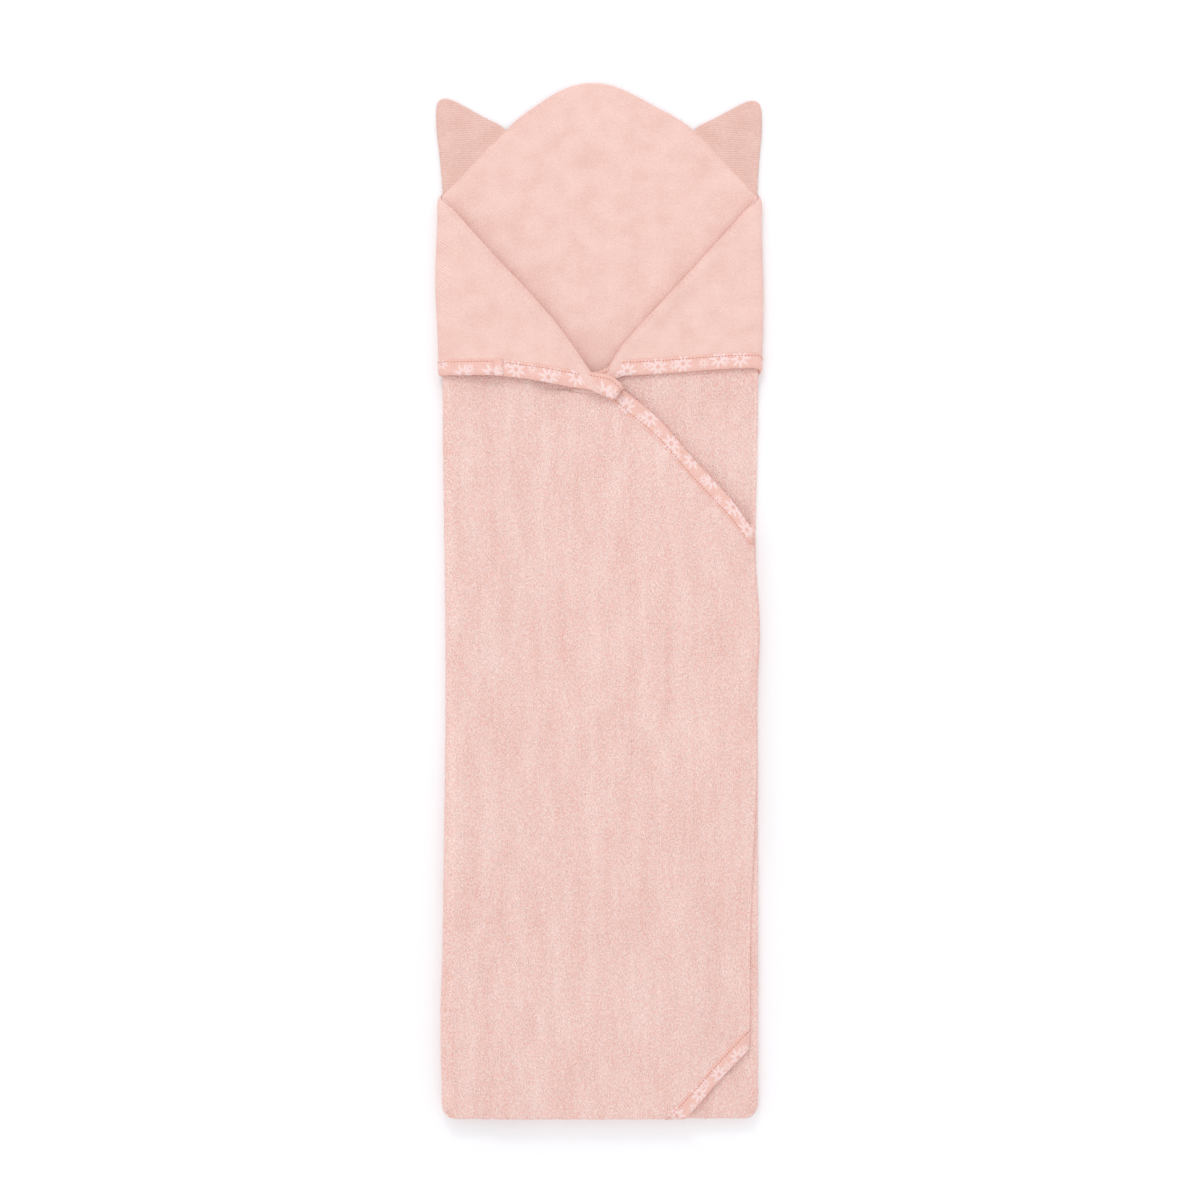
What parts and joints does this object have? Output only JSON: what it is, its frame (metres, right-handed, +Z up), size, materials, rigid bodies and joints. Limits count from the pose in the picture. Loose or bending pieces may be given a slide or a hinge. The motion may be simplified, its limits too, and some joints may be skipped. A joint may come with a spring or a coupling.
{
  "type": "hooded baby towel",
  "caption": "Square terry baby towel with a corner hood, two ears and bound edges, folded flat into a long strip.",
  "frame": {"origin": "middle of the folded strip's outline, on the table it lies on", "axes": "+Y along the strip towards the top of the hood, +X across it to the right, +Z up from the table"},
  "size_m": [0.2374, 0.761, 0.0159],
  "materials": {
    "terry": "looped terry, salmon pink, matt",
    "smooth_knit": "smooth knitted face of the same cloth, matt",
    "ear_cloth": "smooth knit, a shade darker",
    "daisy_binding": "woven cotton bias tape printed with small pale daisies, topstitched"
  },
  "bodies": {
    "folded_towel": {"towel_centre": "terry", "bottom_corner": "terry", "bottom_corner_binding": "daisy_binding", "bottom_edge_fold": "terry", "hood_underside": "smooth_knit", "hood_underside_hem": "daisy_binding", "right_flap": "terry", "right_flap_upper_binding": "daisy_binding", "right_flap_lower_binding": "daisy_binding", "right_side_fold": "terry", "right_inner_fold": "terry", "right_tuck": "terry", "right_tuck_binding": "daisy_binding", "right_tuck_fold": "terry", "right_turned_corner": "terry", "right_turned_binding": "daisy_binding", "right_bottom_fold": "terry", "hood_right": "smooth_knit", "hood_right_hem": "daisy_binding", "hood_right_fold": "smooth_knit", "left_side_fold": "terry", "left_inner_fold": "terry", "hood_left_fold": "smooth_knit"},
    "flap_left": {"left_flap": "terry", "left_flap_upper_binding": "daisy_binding", "left_flap_lower_binding": "daisy_binding", "left_tuck": "terry", "left_tuck_binding": "daisy_binding", "left_tuck_fold": "terry", "left_turned_corner": "terry", "left_turned_binding": "daisy_binding", "left_bottom_fold": "terry", "hood_left": "smooth_knit", "hood_left_hem": "daisy_binding"},
    "ear_left": {"left_ear_front": "ear_cloth", "left_ear_back": "ear_cloth"},
    "ear_right": {"right_ear_front": "ear_cloth", "right_ear_back": "ear_cloth"}
  },
  "joints": [
    {"name": "left_flap_turn", "type": "hinge", "parent": "folded_towel", "child": "flap_left", "pos_m": [-0.11815, 0, 0.0081], "axis": [0, -1, 0], "range_deg": [0, 180], "deforming": ["left_side_fold", "left_inner_fold", "hood_left_fold"]},
    {"name": "left_ear_fold", "type": "hinge", "parent": "folded_towel", "child": "ear_left", "pos_m": [-0.07, 0.34637, 0.0051], "axis": [0.676, 0.7369, 0], "range_deg": [0, 150]},
    {"name": "right_ear_fold", "type": "hinge", "parent": "folded_towel", "child": "ear_right", "pos_m": [0.07, 0.34637, 0.0051], "axis": [0.676, -0.7369, 0], "range_deg": [0, 150]}
  ]
}
